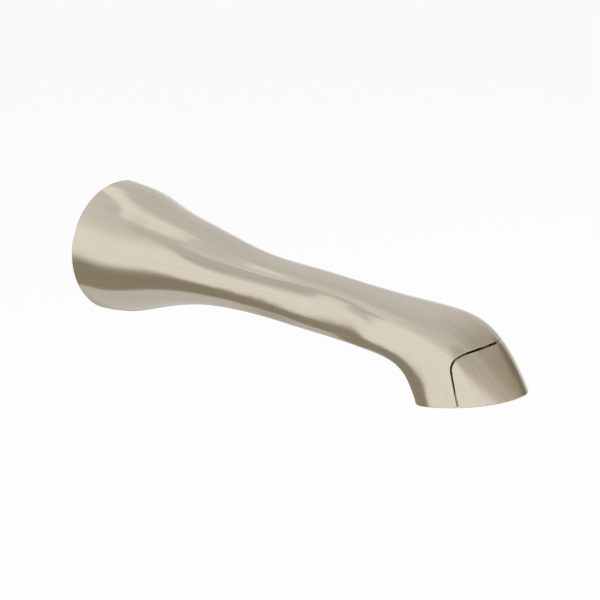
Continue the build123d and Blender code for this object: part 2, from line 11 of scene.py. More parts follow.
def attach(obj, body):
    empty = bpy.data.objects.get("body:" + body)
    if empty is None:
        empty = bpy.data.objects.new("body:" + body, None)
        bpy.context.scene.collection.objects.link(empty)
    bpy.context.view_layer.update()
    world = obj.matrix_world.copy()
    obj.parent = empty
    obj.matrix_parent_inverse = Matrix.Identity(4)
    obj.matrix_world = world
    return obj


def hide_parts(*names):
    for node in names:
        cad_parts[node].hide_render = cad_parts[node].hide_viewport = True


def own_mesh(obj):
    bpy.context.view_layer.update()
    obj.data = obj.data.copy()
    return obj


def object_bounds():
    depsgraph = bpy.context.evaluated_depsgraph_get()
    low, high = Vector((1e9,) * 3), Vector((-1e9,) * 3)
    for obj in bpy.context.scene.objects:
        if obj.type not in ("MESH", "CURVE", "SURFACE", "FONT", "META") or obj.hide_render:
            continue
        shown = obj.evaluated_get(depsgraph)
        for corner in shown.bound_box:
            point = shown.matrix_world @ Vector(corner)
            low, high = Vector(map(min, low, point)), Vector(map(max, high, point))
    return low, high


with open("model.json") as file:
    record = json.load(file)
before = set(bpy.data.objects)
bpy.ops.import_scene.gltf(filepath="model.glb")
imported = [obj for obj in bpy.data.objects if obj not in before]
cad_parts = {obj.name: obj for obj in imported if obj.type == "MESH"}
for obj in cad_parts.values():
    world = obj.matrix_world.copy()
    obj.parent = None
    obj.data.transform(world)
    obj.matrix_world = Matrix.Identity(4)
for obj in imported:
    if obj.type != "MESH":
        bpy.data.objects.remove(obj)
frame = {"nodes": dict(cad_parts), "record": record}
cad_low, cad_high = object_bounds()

# Wall mounted bath spout with a pull-down diverter: its finishes, details, light and camera.
# The wall is the plane Y = 0, the spout reaches out along -Y, and +Z is up, in metres.

MM = 0.001

# Sections of the cast spout, in millimetres and degrees:
# reach from the wall, height, lean, half height, half width, squareness
STATIONS = (
    (0.0, 0.0, 0.0, 30.0, 30.0, 2.0),
    (14.0, 0.0, 0.0, 28.2, 28.2, 2.0),
    (32.0, 0.0, 0.0, 22.9, 22.9, 2.05),
    (55.0, 0.0, 0.0, 17.4, 17.4, 2.25),
    (85.0, -1.95, 0.0, 12.85, 12.75, 2.8),
    (118.0, -3.45, 0.0, 11.85, 12.1, 3.4),
    (148.0, -5.05, 12.0, 11.5, 12.6, 3.5),
    (163.0, -5.65, 38.0, 13.3, 15.6, 3.4),
    (188.4, -10.2, 57.0, 16.7, 18.4, 3.4),
    (203.0, -27.7, 78.0, 23.1, 18.2, 2.8),
)
NOSE_SQUARENESS = 2.1        # the front half of the last section is rounder
FORM_RINGS = 360
FORM_SIDES = 288
SKIN_DEPTH = 0.15 * MM       # a point this close to the form belongs to the outer skin
WALL_DEPTH = 2.0 * MM        # a face deeper than this belongs to the raw casting inside
RIM_DEPTH = 0.1 * MM         # a face this close to the wall belongs to the flange's flat rim
SKIN_AGREEMENT = 0.8         # a skin face's own normal agrees with the form's at least this much
SLIVER_AREA = 0.004 * MM * MM
SHARP_ANGLE = math.radians(32)
MERGE_DISTANCE = 0.002 * MM

# The pull slides on a leaning axis, and the valve stands on that axis behind it
SLIDE_LEAN = math.radians(16.0)
SLIDE_UP = Vector((0.0, math.sin(SLIDE_LEAN), math.cos(SLIDE_LEAN)))
SLIDE_FORWARD = Vector((0.0, -math.cos(SLIDE_LEAN), math.sin(SLIDE_LEAN)))
OUTLET_MIDDLE = Vector((0.0, -203.0, -27.7)) * MM
VALVE_BASE = OUTLET_MIDDLE - SLIDE_FORWARD * 10.0 * MM
TUBE_FALL = math.atan2(0.075665, 0.997133)

# Return spring: its two ends along the valve's axis, its turns and its wire
SPRING_LOW = 9.8 * MM
SPRING_HIGH = 20.65 * MM
SPRING_TURNS = 4.5
SPRING_RADIUS = 3.7 * MM
SPRING_WIRE = 0.7 * MM
SPRING_POINTS = 217
WIRE_SIDES = 16

# Screws: the turn that points them, their places under the head, and their sizes
SCREWS = {
    "socket_screws": {
        "turn": math.radians(90.0),
        "places": [Vector((side * 13.95, -28.5, 0.0)) * MM for side in (-1, 1)],
        "sizes": (2.5, 2.0, 1.5, 7.9),
    },
    "housing_screws": {
        "turn": -SLIDE_LEAN,
        "places": [VALVE_BASE + Vector((side * 12.3 * MM, 0.0, 0.0)) + SLIDE_UP * 7.3 * MM for side in (-1, 1)],
        "sizes": (2.5, 2.0, 1.5, 11.5),
    },
    "carrier_screws": {
        "turn": math.radians(90.0) - SLIDE_LEAN,
        "places": [OUTLET_MIDDLE + (SLIDE_FORWARD * 1.7 + SLIDE_UP * rise) * MM for rise in (9.0, 16.0)],
        "sizes": (2.1, 1.6, 1.25, 7.4),
    },
}
PITCH_SHARE = 0.45           # of the shank's radius
THREAD_SHARE = 0.16
RECESS_WIDTH = 0.7 * MM
SHANK_GRID = (121, 33)       # rings along and points around
HEAD_GRID = (31, 49)

# Seals: the turn of their axis, the places where they start, and inner radius, outer radius and width
SEALS = {
    "supply_o_rings": {
        "turn": math.radians(90.0),
        "places": [Vector((0.0, -reach, 0.0)) * MM for reach in (33.1, 38.6)],
        "sizes": (7.85, 9.6, 2.4),
    },
    "rear_tube_o_ring": {
        "turn": math.radians(90.0),
        "places": [Vector((0.0, -52.2, 0.0)) * MM],
        "sizes": (6.0, 7.0, 1.6),
    },
    "front_tube_o_ring": {
        "turn": TUBE_FALL - math.radians(90.0),
        "places": [Vector((0.0, -177.488 + 2.7 * math.cos(TUBE_FALL), -8.688 + 2.7 * math.sin(TUBE_FALL))) * MM],
        "sizes": (6.0, 7.0, 1.6),
    },
    "seat_o_ring": {
        "turn": -SLIDE_LEAN,
        "places": [VALVE_BASE + SLIDE_UP * 11.4 * MM],
        "sizes": (6.9, 7.8, 1.6),
    },
}
SEAL_GRID = (33, 129)        # points around the section and around the ring
SEAL_FULLNESS = 0.7          # 1 is an ellipse, and less fills the groove's corners

# Camera: where the photograph was taken from, and its lens
VIEW_AZIMUTH = math.radians(-47.94)
VIEW_ELEVATION = math.radians(15.89)
VIEW_DISTANCE = 0.8
VIEW_TARGET = Vector((0.0, -0.105, -0.005))
VIEW_RIGHT = 4.29 * MM
VIEW_DOWN = 1.35 * MM
VIEW_LENS = 112.8

# Brushed nickel: how fine its lines and its broader drift are, along and around, and its tones
BRUSH_LINES = (28.0, 2600.0, 1.0)
BRUSH_DRIFT = (9.0, 420.0, 1.0)
BRUSH_RANGE = (0.45, 1.1)
NICKEL_DARK = (0.655, 0.585, 0.478)
NICKEL_LIGHT = (0.715, 0.645, 0.535)
NICKEL_ROUGHNESS = (0.11, 0.17)

# Studio: the floor, the lamps and an even light on all that isn't glossy
WHITE = (1.0, 1.0, 1.0, 1.0)
FLOOR_DROP = 0.16
FLOOR_SIZE = 24.0
FLOOR_TONE = (0.86, 0.86, 0.86, 1.0)
FLOOR_GLOW = 0.9             # the share of plain white that the camera sees on the floor
PLAIN_LEVEL = 0.62
LAMPS = (
    ("key_softbox", (-0.7, -0.6, 1.1), 0.9, 9.0),
    ("fill_softbox", (0.9, -0.5, 0.7), 0.9, 4.0),
)

# What the metal shows of the walls, with its level from 0 straight down to 1 straight up
LEFT_WALL = ((0.0, 1.0), (0.70, 1.0), (0.75, 0.90), (0.80, 0.83), (0.88, 0.79), (0.93, 0.73), (1.0, 0.72))
FAR_WALL = ((0.0, 1.0), (0.68, 1.0), (0.76, 0.94), (0.87, 0.84), (1.0, 0.75))
RIGHT_WALL = ((0.0, 0.68), (0.20, 0.84), (0.35, 0.92), (0.50, 0.88), (0.58, 0.70), (0.85, 0.68), (1.0, 0.70))
# a flag on the right, with its share by how nearly a direction points at it
FLAG = (0.82, -0.36, 0.44)
FLAG_TONE = (0.42, 0.38, 0.31, 1.0)
FLAG_SHARES = ((0.0, 0.0), (0.62, 0.0), (0.78, 0.16), (0.90, 0.50), (0.95, 0.66), (0.985, 0.80), (1.0, 0.95))
FRONT_SHARE = 0.5            # of the flag's tone, in front of the nose
EDGE_SHARE = 0.85
EDGE_TONE = (0.20, 0.18, 0.14, 1.0)
BELOW_TONE = (0.66, 0.66, 0.66, 1.0)
DUSK = (0.33, 0.305, 0.245, 1.0)

# Cards near the spout that only its metal shows: (y, z) corners of two upright ones and a strip overhead,
# the direction that their tones run with its start and end in metres, and the tones
CARD_X = -60.0
SHADE_CARD = (
    (75, 15.5), (-22, -3.2), (-29, -16), (-36, -22.5), (-46, -25), (-60, -27.5), (-68, -30), (-84, -30.5),
    (-93, -27.5), (-100, -18.3), (-153, -28.5), (-152, -46), (-116, -87), (-62, -128), (-46, -112), (-38, -78),
    (-20, -82), (-9, -92), (0, -97), (75, -97),
)
SHADE_RUN = ((0.0, -0.1895, 0.9819), -0.0216, 0.0)
SHADE_TONES = ((0.0, DUSK[:3]), (0.20, (0.37, 0.345, 0.285)), (0.40, 0.52), (0.60, 0.78), (0.80, 0.96), (1.0, 1.0))
STREAK_CARD = (
    (-92, -8), (-58, -8), (-47, 9), (-38, 22), (-33, 30), (-26, 40), (-20, 53), (-13, 65), (-9, 80), (-5, 95),
    (-11, 95), (-17, 80), (-24, 68), (-31, 58), (-40, 49), (-48, 44), (-56, 60), (-75, 75), (-92, 60), (-94, 30),
    (-94, 2),
)
STREAK_RUN = ((0.0, 0.0, 1.0), -0.008, 0.060)
STREAK_TONES = ((0.0, 0.96), (0.06, 0.84), (0.15, 0.69), (0.28, 0.60), (0.62, 0.62), (1.0, 0.67))
TOP_CARD = (
    (-0.018, 0.042, 0.150), (-0.030, 0.028, 0.150), (-0.072, 0.024, 0.150), (-0.072, 0.008, 0.150),
    (-0.020, 0.006, 0.150), (0.0, -0.0114, 0.150), (0.102, 0.1176, 0.150), (0.064, 0.1474, 0.150),
)
TOP_RUN = ((0.784, -0.620, 0.0), -0.049, 0.007)
TOP_TONES = ((0.0, 1.0), (0.62, 1.0), (0.80, 0.86), (1.0, 0.70))


def natural_spline(knots, values):
    """Return a smooth function through the values, straight at both ends."""
    knots = np.asarray(knots, float)
    values = np.asarray(values, float)
    steps = np.diff(knots)
    count = len(knots)
    system = np.eye(count)
    bends = np.zeros(count)
    for k in range(1, count - 1):
        system[k, k - 1:k + 2] = steps[k - 1], 2 * (steps[k - 1] + steps[k]), steps[k]
        slopes = np.diff(values[k - 1:k + 2]) / steps[k - 1:k + 1]
        bends[k] = 6 * (slopes[1] - slopes[0])
    bends = np.linalg.solve(system, bends)

    def value(share):
        k = np.clip(np.searchsorted(knots, share, side="right") - 1, 0, count - 2)
        near = (share - knots[k]) / steps[k]
        far = 1 - near
        curve = (far**3 - far) * bends[k] + (near**3 - near) * bends[k + 1]
        return far * values[k] + near * values[k + 1] + curve * steps[k] ** 2 / 6

    return value


class SpoutForm:
    """The spout's outside as a fine grid, to take normals and brushing directions from."""

    def __init__(self):
        rows = np.array(STATIONS)
        ways = np.concatenate([[0.0], np.cumsum(np.hypot(np.diff(rows[:, 0]), np.diff(rows[:, 1])))])
        knots = ways / ways[-1]
        lean = np.radians(rows[:, 2])
        rise = rows[:, 3] * np.cos(lean)
        run = rows[:, 3] * np.sin(lean)
        columns = (
            rows[:, 0] + run, rows[:, 1] + rise, rows[:, 0] - run, rows[:, 1] - rise, rows[:, 4], rows[:, 5],
            np.append(rows[:-1, 5], NOSE_SQUARENESS),
        )
        share = np.linspace(0.0, 1.0, FORM_RINGS + 1)
        lines = [natural_spline(knots, column)(share)[:, None] for column in columns]
        top_reach, top_height, low_reach, low_height, half_width, rear, front = lines
        half_height = np.hypot(top_reach - low_reach, top_height - low_height) / 2
        angle = np.linspace(-math.pi / 2, 1.5 * math.pi, FORM_SIDES + 1)[None, :]
        squareness = np.where(np.sin(angle) >= 0.0, front, rear)
        across = np.abs(np.cos(angle) / half_width) ** squareness
        along = np.abs(np.sin(angle) / half_height) ** squareness
        radius = (across + along) ** (-1 / squareness)
        up_share = radius * np.sin(angle) / (2 * half_height)
        points = np.stack([
            radius * np.cos(angle),
            -((top_reach + low_reach) / 2 + up_share * (top_reach - low_reach)),
            (top_height + low_height) / 2 + up_share * (top_height - low_height),
        ], axis=-1) * MM
        wrapped = np.concatenate([points[:, -2:-1], points, points[:, 1:2]], axis=1)
        along_step = np.gradient(points, axis=0)
        around_step = np.gradient(wrapped, axis=1)[:, 1:-1]
        normals = np.cross(around_step, along_step)
        normals /= np.linalg.norm(normals, axis=-1, keepdims=True)
        self.points = points
        self.normals = normals
        self.length = ways[-1] * MM
        self.sides = FORM_SIDES + 1
        corners = np.arange(points.shape[0] * self.sides).reshape(-1, self.sides)
        quads = np.stack([corners[:-1, :-1], corners[1:, :-1], corners[1:, 1:], corners[:-1, 1:]], axis=-1)
        self.tree = BVHTree.FromPolygons(points.reshape(-1, 3).tolist(), quads.reshape(-1, 4).tolist())

    def lookup(self, point):
        """Return the form's normal, the share along and the turn around nearest to a point, and how far it is."""
        place, _, index, distance = self.tree.find_nearest(point)
        ring, side = divmod(index, self.sides - 1)
        corner = self.points[ring, side]
        along = self.points[ring + 1, side] - corner
        around = self.points[ring, side + 1] - corner
        offset = np.array(place) - corner
        a = min(max(offset @ along / max(along @ along, 1e-18), 0.0), 1.0)
        b = min(max(offset @ around / max(around @ around, 1e-18), 0.0), 1.0)
        near = (1 - b) * self.normals[ring, side] + b * self.normals[ring, side + 1]
        far = (1 - b) * self.normals[ring + 1, side] + b * self.normals[ring + 1, side + 1]
        normal = (1 - a) * near + a * far
        return normal / np.linalg.norm(normal), (ring + a) / FORM_RINGS, (side + b) / FORM_SIDES, distance


def smooth_copy(node, name):
    """Return a copy of a CAD node as one joined surface, smooth except at its real edges."""
    mesh = frame["nodes"][node].data.copy()
    mesh.name = name
    work = bmesh.new()
    work.from_mesh(mesh)
    bmesh.ops.remove_doubles(work, verts=work.verts, dist=MERGE_DISTANCE)
    work.to_mesh(mesh)
    work.free()
    mesh.materials.clear()
    mesh.polygons.foreach_set("use_smooth", np.ones(len(mesh.polygons), bool))
    mesh.set_sharp_from_angle(angle=SHARP_ANGLE)
    piece = bpy.data.objects.new(name, mesh)
    bpy.context.scene.collection.objects.link(piece)
    return piece


def skin(piece, form):
    """Give a piece of the shell the form's own normals outside, and brushing directions all over."""
    mesh = piece.data
    found = [form.lookup(vertex.co) for vertex in mesh.vertices]
    normals = np.array([row[0] for row in found])
    places = np.array([row[1:] for row in found])
    corner_normals = np.zeros((len(mesh.loops), 3))
    layer = mesh.uv_layers.new(name="brushing")
    uv = np.zeros((len(mesh.loops), 2))
    girth = 2 * math.pi * STATIONS[0][4] * MM
    for face in mesh.polygons:
        corners = np.array(face.vertices)
        loops = np.array(face.loop_indices)
        outside = places[corners, 2].max() < SKIN_DEPTH
        sliver = face.area < SLIVER_AREA
        at_wall = min(mesh.vertices[corner].co.y for corner in face.vertices) > -RIM_DEPTH
        if outside and (sliver or min(normals[corners] @ np.array(face.normal)) > SKIN_AGREEMENT):
            corner_normals[loops] = normals[corners]
        elif at_wall:
            corner_normals[loops] = face.normal
        turns = places[corners, 1]
        turns = np.where(turns - turns.max() < -0.5, turns + 1.0, turns)
        uv[loops, 0] = places[corners, 0] * form.length + places[corners, 2]
        uv[loops, 1] = turns * girth
        face.material_index = int(places[corners, 2].mean() > WALL_DEPTH and not at_wall)
    layer.data.foreach_set("uv", uv.astype(np.float32).ravel())
    mesh.normals_split_custom_set(corner_normals.tolist())
    print(piece.name, "farthest skin point", round(places[places[:, 2] < SKIN_DEPTH, 2].max() / MM, 4), "mm")


def new_material(name):
    """Return an empty node material and its tree."""
    material = bpy.data.materials.new(name)
    material.use_nodes = True
    tree = material.node_tree
    tree.nodes.clear()
    return material, tree


def feed(tree, socket, value):
    """Link a socket to another one, or set its value."""
    if isinstance(value, bpy.types.NodeSocket):
        tree.links.new(value, socket)
    else:
        socket.default_value = value


def add(tree, kind, settings=None, **inputs):
    """Add a node, with its settings and its unlinked or linked inputs; spaces in names are underscores."""
    made = tree.nodes.new(kind)
    for key, value in (settings or {}).items():
        setattr(made, key, value)
    for key, value in inputs.items():
        feed(tree, made.inputs[key.replace("_", " ")], value)
    return made


def compute(tree, operation, *values):
    """Add a sum of numbers or sockets, and return its result."""
    made = add(tree, "ShaderNodeMath", {"operation": operation})
    for socket, value in zip(made.inputs, values):
        feed(tree, socket, value)
    return made.outputs["Value"]


def product(tree, *values):
    """Return the product of two or more numbers or sockets."""
    made = values[0]
    for value in values[1:]:
        made = compute(tree, "MULTIPLY", made, value)
    return made


def ramp(tree, factor, stops):
    """Add a colour ramp with (position, grey or colour) stops."""
    made = add(tree, "ShaderNodeValToRGB", Fac=factor)
    elements = made.color_ramp.elements
    while len(elements) < len(stops):
        elements.new(0.5)
    for element, (position, tone) in zip(elements, stops):
        element.position = position
        colour = (tone,) * 3 if isinstance(tone, (int, float)) else tone
        element.color = (*colour, 1.0)
    return made.outputs["Color"]


def finish_material(tree, **inputs):
    """Add the surface shader and the material's output."""
    surface = add(tree, "ShaderNodeBsdfPrincipled", **inputs)
    add(tree, "ShaderNodeOutputMaterial", Surface=surface.outputs["BSDF"])
    return surface


def brushed_nickel():
    """Warm satin nickel, brushed along the spout."""
    material, tree = new_material("brushed_nickel")
    place = add(tree, "ShaderNodeUVMap", {"uv_map": "brushing"}).outputs["UV"]
    lines = add(tree, "ShaderNodeMapping", Vector=place, Scale=BRUSH_LINES).outputs["Vector"]
    fine = add(tree, "ShaderNodeTexNoise", Vector=lines, Scale=1.0, Detail=5.0, Roughness=0.6).outputs["Fac"]
    wide = add(tree, "ShaderNodeMapping", Vector=place, Scale=BRUSH_DRIFT).outputs["Vector"]
    drift = add(tree, "ShaderNodeTexNoise", Vector=wide, Scale=1.0, Detail=3.0).outputs["Fac"]
    streak = compute(tree, "MULTIPLY_ADD", fine, 0.6, drift)
    start, end = BRUSH_RANGE
    low, high = NICKEL_ROUGHNESS
    colour = ramp(tree, streak, ((start, NICKEL_DARK), (end, NICKEL_LIGHT)))
    rough = add(tree, "ShaderNodeMapRange", Value=streak, From_Min=start, From_Max=end, To_Min=low, To_Max=high)
    bump = add(tree, "ShaderNodeBump", Height=fine, Strength=0.25, Distance=0.00003)
    tangent = add(tree, "ShaderNodeTangent", {"direction_type": "UV_MAP", "uv_map": "brushing"})
    finish_material(
        tree, Base_Color=colour, Metallic=1.0, Roughness=rough.outputs["Result"], Anisotropic=0.3,
        Anisotropic_Rotation=0.25, Normal=bump.outputs["Normal"], Tangent=tangent.outputs["Tangent"],
    )
    return material


def speckled(name, dark, light, scale, roughness, metallic=0.0, bump_depth=0.00002, stretch=(1.0, 1.0, 1.0)):
    """A finish with fine tone and roughness variation in the solid's own coordinates."""
    material, tree = new_material(name)
    place = add(tree, "ShaderNodeTexCoord").outputs["Object"]
    spread = add(tree, "ShaderNodeMapping", Vector=place, Scale=stretch).outputs["Vector"]
    grain = add(tree, "ShaderNodeTexNoise", Vector=spread, Scale=scale, Detail=6.0, Roughness=0.6).outputs["Fac"]
    colour = ramp(tree, grain, ((0.3, dark), (0.7, light)))
    low, high = roughness
    rough = add(tree, "ShaderNodeMapRange", Value=grain, From_Min=0.3, From_Max=0.7, To_Min=low, To_Max=high)
    bump = add(tree, "ShaderNodeBump", Height=grain, Strength=0.4, Distance=bump_depth)
    finish_material(
        tree, Base_Color=colour, Metallic=metallic, Roughness=rough.outputs["Result"],
        Normal=bump.outputs["Normal"],
    )
    return material


def make_materials():
    """Return every finish by the name of its slot, and the raw casting inside the shell."""
    return {
        "brushed_nickel": brushed_nickel(),
        "raw_casting": speckled(
            "raw_casting", (0.30, 0.25, 0.19), (0.46, 0.40, 0.31), 900.0, (0.5, 0.75), 1.0, 0.0001),
        "grey_foam": speckled("grey_foam", (0.10, 0.10, 0.11), (0.20, 0.20, 0.21), 1800.0, (0.85, 0.98), 0.0, 0.0002),
        "brass": speckled("brass", (0.60, 0.42, 0.18), (0.78, 0.60, 0.30), 500.0, (0.26, 0.42), 1.0, 0.00002),
        "screw_steel": speckled("screw_steel", (0.50, 0.50, 0.51), (0.66, 0.66, 0.67), 1200.0, (0.24, 0.4), 1.0),
        "black_rubber": speckled("black_rubber", (0.015, 0.015, 0.016), (0.035, 0.035, 0.036), 1500.0, (0.5, 0.7)),
        "white_plastic": speckled("white_plastic", (0.74, 0.74, 0.71), (0.80, 0.80, 0.78), 700.0, (0.38, 0.5)),
        "grey_plastic": speckled("grey_plastic", (0.13, 0.135, 0.14), (0.17, 0.175, 0.18), 700.0, (0.4, 0.55)),
    }


def start_tree(name, sizes):
    """Return a new geometry tree with named sizes, and its inputs: the places come in as points."""
    tree = bpy.data.node_groups.new(name, "GeometryNodeTree")
    tree.interface.new_socket("Geometry", in_out="INPUT", socket_type="NodeSocketGeometry")
    for size in sizes:
        tree.interface.new_socket(size, in_out="INPUT", socket_type="NodeSocketFloat")
    tree.interface.new_socket("Finish", in_out="INPUT", socket_type="NodeSocketMaterial")
    tree.interface.new_socket("Geometry", in_out="OUTPUT", socket_type="NodeSocketGeometry")
    return tree, add(tree, "NodeGroupInput").outputs


def end_tree(tree, given, one):
    """Set one shape on every place, turned about X, and close the tree."""
    turn = add(tree, "ShaderNodeCombineXYZ", X=given["Turn"]).outputs["Vector"]
    aim = add(tree, "FunctionNodeEulerToRotation", Euler=turn).outputs["Rotation"]
    set_out = add(tree, "GeometryNodeInstanceOnPoints", Points=given["Geometry"], Instance=one, Rotation=aim)
    real = add(tree, "GeometryNodeRealizeInstances", Geometry=set_out.outputs["Instances"])
    dressed = add(
        tree, "GeometryNodeSetMaterial", Geometry=real.outputs["Geometry"], Material=given["Finish"])
    add(tree, "NodeGroupOutput", Geometry=dressed.outputs["Geometry"])
    return tree


def place_points(tree, shape, x, y, z):
    """Move every point of a shape to computed coordinates."""
    spot = add(tree, "ShaderNodeCombineXYZ", X=x, Y=y, Z=z).outputs["Vector"]
    return add(tree, "GeometryNodeSetPosition", Geometry=shape, Position=spot).outputs["Geometry"]


def spring_tree():
    """Geometry of a coil of round wire that stands on its place."""
    tree, given = start_tree("return_coil", ("Turns", "Radius", "Wire", "Height", "Turn"))
    line = add(tree, "GeometryNodeCurvePrimitiveLine").outputs["Curve"]
    steps = add(tree, "GeometryNodeResampleCurve", Curve=line, Count=SPRING_POINTS).outputs["Curve"]
    share = add(tree, "GeometryNodeSplineParameter").outputs["Factor"]
    angle = product(tree, share, given["Turns"], 2 * math.pi)
    half = compute(tree, "MULTIPLY", given["Wire"], 0.5)
    rise = compute(tree, "MULTIPLY_ADD", share, compute(tree, "SUBTRACT", given["Height"], given["Wire"]), half)
    helix = place_points(
        tree, steps,
        compute(tree, "MULTIPLY", given["Radius"], compute(tree, "COSINE", angle)),
        compute(tree, "MULTIPLY", given["Radius"], compute(tree, "SINE", angle)),
        rise,
    )
    wire = add(tree, "GeometryNodeCurvePrimitiveCircle", Resolution=WIRE_SIDES, Radius=half).outputs["Curve"]
    tube = add(tree, "GeometryNodeCurveToMesh", Curve=helix, Profile_Curve=wire, Fill_Caps=True).outputs["Mesh"]
    return end_tree(tree, given, tube)


def seal_tree():
    """Geometry of a rubber ring with a rounded section, squeezed to its groove, standing on its place."""
    tree, given = start_tree("seal_ring", ("Inner Radius", "Outer Radius", "Width", "Turn"))
    across = compute(tree, "SUBTRACT", given["Outer Radius"], given["Inner Radius"])
    middle = compute(tree, "MULTIPLY_ADD", across, 0.5, given["Inner Radius"])
    rings, sides = SEAL_GRID
    sheet = add(tree, "GeometryNodeMeshGrid", Size_X=1.0, Size_Y=1.0, Vertices_X=rings, Vertices_Y=sides)
    spot = add(tree, "ShaderNodeSeparateXYZ", Vector=add(tree, "GeometryNodeInputPosition").outputs["Position"])
    section = compute(tree, "MULTIPLY", spot.outputs["X"], 2 * math.pi)
    around = compute(tree, "MULTIPLY", spot.outputs["Y"], 2 * math.pi)

    def rounded(wave):
        size = compute(tree, "POWER", compute(tree, "ABSOLUTE", wave), SEAL_FULLNESS)
        return compute(tree, "MULTIPLY", compute(tree, "SIGN", wave), size)

    out = compute(tree, "MULTIPLY", across, 0.5)
    radius = compute(tree, "MULTIPLY_ADD", rounded(compute(tree, "COSINE", section)), out, middle)
    half = compute(tree, "MULTIPLY", given["Width"], 0.5)
    rise = compute(tree, "MULTIPLY_ADD", rounded(compute(tree, "SINE", section)), half, half)
    ring = place_points(
        tree, sheet.outputs["Mesh"],
        compute(tree, "MULTIPLY", radius, compute(tree, "COSINE", around)),
        compute(tree, "MULTIPLY", radius, compute(tree, "SINE", around)),
        rise,
    )
    closed = add(tree, "GeometryNodeMergeByDistance", Geometry=ring, Distance=MERGE_DISTANCE).outputs["Geometry"]
    flipped = add(tree, "GeometryNodeFlipFaces", Mesh=closed).outputs["Mesh"]
    return end_tree(tree, given, flipped)


def screw_tree():
    """Geometry of a round-head screw with a cross recess and a thread, pointing up from its place."""
    tree, given = start_tree("cross_screw", (
        "Head Radius", "Head Height", "Shank Radius", "Length", "Pitch", "Thread Depth", "Recess Width", "Turn"))
    spot = add(tree, "ShaderNodeSeparateXYZ", Vector=add(tree, "GeometryNodeInputPosition").outputs["Position"])
    along = compute(tree, "ADD", spot.outputs["X"], 0.5)
    around = compute(tree, "MULTIPLY", spot.outputs["Y"], 2 * math.pi)

    def lathe(grid, radius, rise, way):
        rings, sides = grid
        sheet = add(tree, "GeometryNodeMeshGrid", Size_X=1.0, Size_Y=1.0, Vertices_X=rings, Vertices_Y=sides)
        angle = compute(tree, "MULTIPLY", around, way)
        turned = place_points(
            tree, sheet.outputs["Mesh"],
            compute(tree, "MULTIPLY", radius, compute(tree, "COSINE", angle)),
            compute(tree, "MULTIPLY", radius, compute(tree, "SINE", angle)),
            rise,
        )
        merged = add(tree, "GeometryNodeMergeByDistance", Geometry=turned, Distance=MERGE_DISTANCE)
        return merged.outputs["Geometry"]

    root = compute(tree, "MULTIPLY", given["Head Height"], -0.3)
    reach = compute(tree, "SUBTRACT", given["Length"], root)
    rise = compute(tree, "MULTIPLY_ADD", along, reach, root)
    phase = compute(tree, "ADD", compute(tree, "DIVIDE", rise, given["Pitch"]), spot.outputs["Y"])
    crest = compute(tree, "MULTIPLY", compute(tree, "PINGPONG", phase, 0.5), 2.0)
    core = compute(tree, "SUBTRACT", given["Shank Radius"], given["Thread Depth"])
    bare = compute(tree, "MULTIPLY_ADD", crest, given["Thread Depth"], core)
    left = compute(tree, "DIVIDE", compute(tree, "SUBTRACT", given["Length"], rise), given["Shank Radius"])
    tip = compute(tree, "MINIMUM", compute(tree, "MAXIMUM", left, 0.0), 1.0)
    begin = compute(tree, "MINIMUM", compute(tree, "MULTIPLY", along, 200.0), 1.0)
    shank = lathe(SHANK_GRID, product(tree, bare, tip, begin), rise, -1.0)

    flat = compute(tree, "MINIMUM", compute(tree, "MULTIPLY", along, 5.0), 1.0)
    over = compute(tree, "MAXIMUM", compute(tree, "MULTIPLY_ADD", along, 1.25, -0.25), 0.0)
    dome = compute(tree, "MULTIPLY", over, math.pi / 2)
    bulge = compute(tree, "POWER", compute(tree, "MAXIMUM", compute(tree, "COSINE", dome), 0.0), 0.6)
    head_radius = product(tree, given["Head Radius"], flat, bulge)
    swell = compute(tree, "POWER", compute(tree, "SINE", dome), 0.75)
    head_rise = product(tree, given["Head Height"], swell, -1.0)
    head = lathe(HEAD_GRID, head_radius, head_rise, 1.0)

    length = compute(tree, "MULTIPLY", given["Head Radius"], 1.2)
    depth = compute(tree, "MULTIPLY", given["Head Height"], 1.1)
    low = compute(tree, "MULTIPLY", given["Head Height"], -1.0)
    drop = add(tree, "ShaderNodeCombineXYZ", Z=low).outputs["Vector"]
    cut = head
    for x, y in ((length, given["Recess Width"]), (given["Recess Width"], length)):
        size = add(tree, "ShaderNodeCombineXYZ", X=x, Y=y, Z=depth).outputs["Vector"]
        bar = add(tree, "GeometryNodeMeshCube", Size=size).outputs["Mesh"]
        moved = add(tree, "GeometryNodeTransform", Geometry=bar, Translation=drop).outputs["Geometry"]
        carve = add(tree, "GeometryNodeMeshBoolean", {"operation": "DIFFERENCE", "solver": "EXACT"})
        tree.links.new(cut, carve.inputs["Mesh 1"])
        tree.links.new(moved, carve.inputs["Mesh 2"])
        cut = carve.outputs["Mesh"]
    whole = add(tree, "GeometryNodeMeshBoolean", {"operation": "UNION", "solver": "EXACT"})
    tree.links.new(cut, whole.inputs["Mesh 2"])
    tree.links.new(shank, whole.inputs["Mesh 2"])
    return end_tree(tree, given, whole.outputs["Mesh"])


def grow(name, tree, places, finish, sizes):
    """Return a plain mesh piece made by a geometry tree on its places."""
    mesh = bpy.data.meshes.new(name)
    mesh.from_pydata([tuple(place) for place in places], [], [])
    piece = bpy.data.objects.new(name, mesh)
    bpy.context.scene.collection.objects.link(piece)
    maker = piece.modifiers.new("maker", "NODES")
    maker.node_group = tree
    sockets = {item.name: item.identifier for item in tree.interface.items_tree if item.in_out == "INPUT"}
    maker[sockets["Finish"]] = finish
    for size, value in sizes.items():
        maker[sockets[size]] = value
    bpy.context.view_layer.update()
    graph = bpy.context.evaluated_depsgraph_get()
    made = bpy.data.meshes.new_from_object(piece.evaluated_get(graph))
    piece.modifiers.remove(maker)
    piece.data = made
    made.polygons.foreach_set("use_smooth", np.ones(len(made.polygons), bool))
    made.set_sharp_from_angle(angle=SHARP_ANGLE)
    return piece


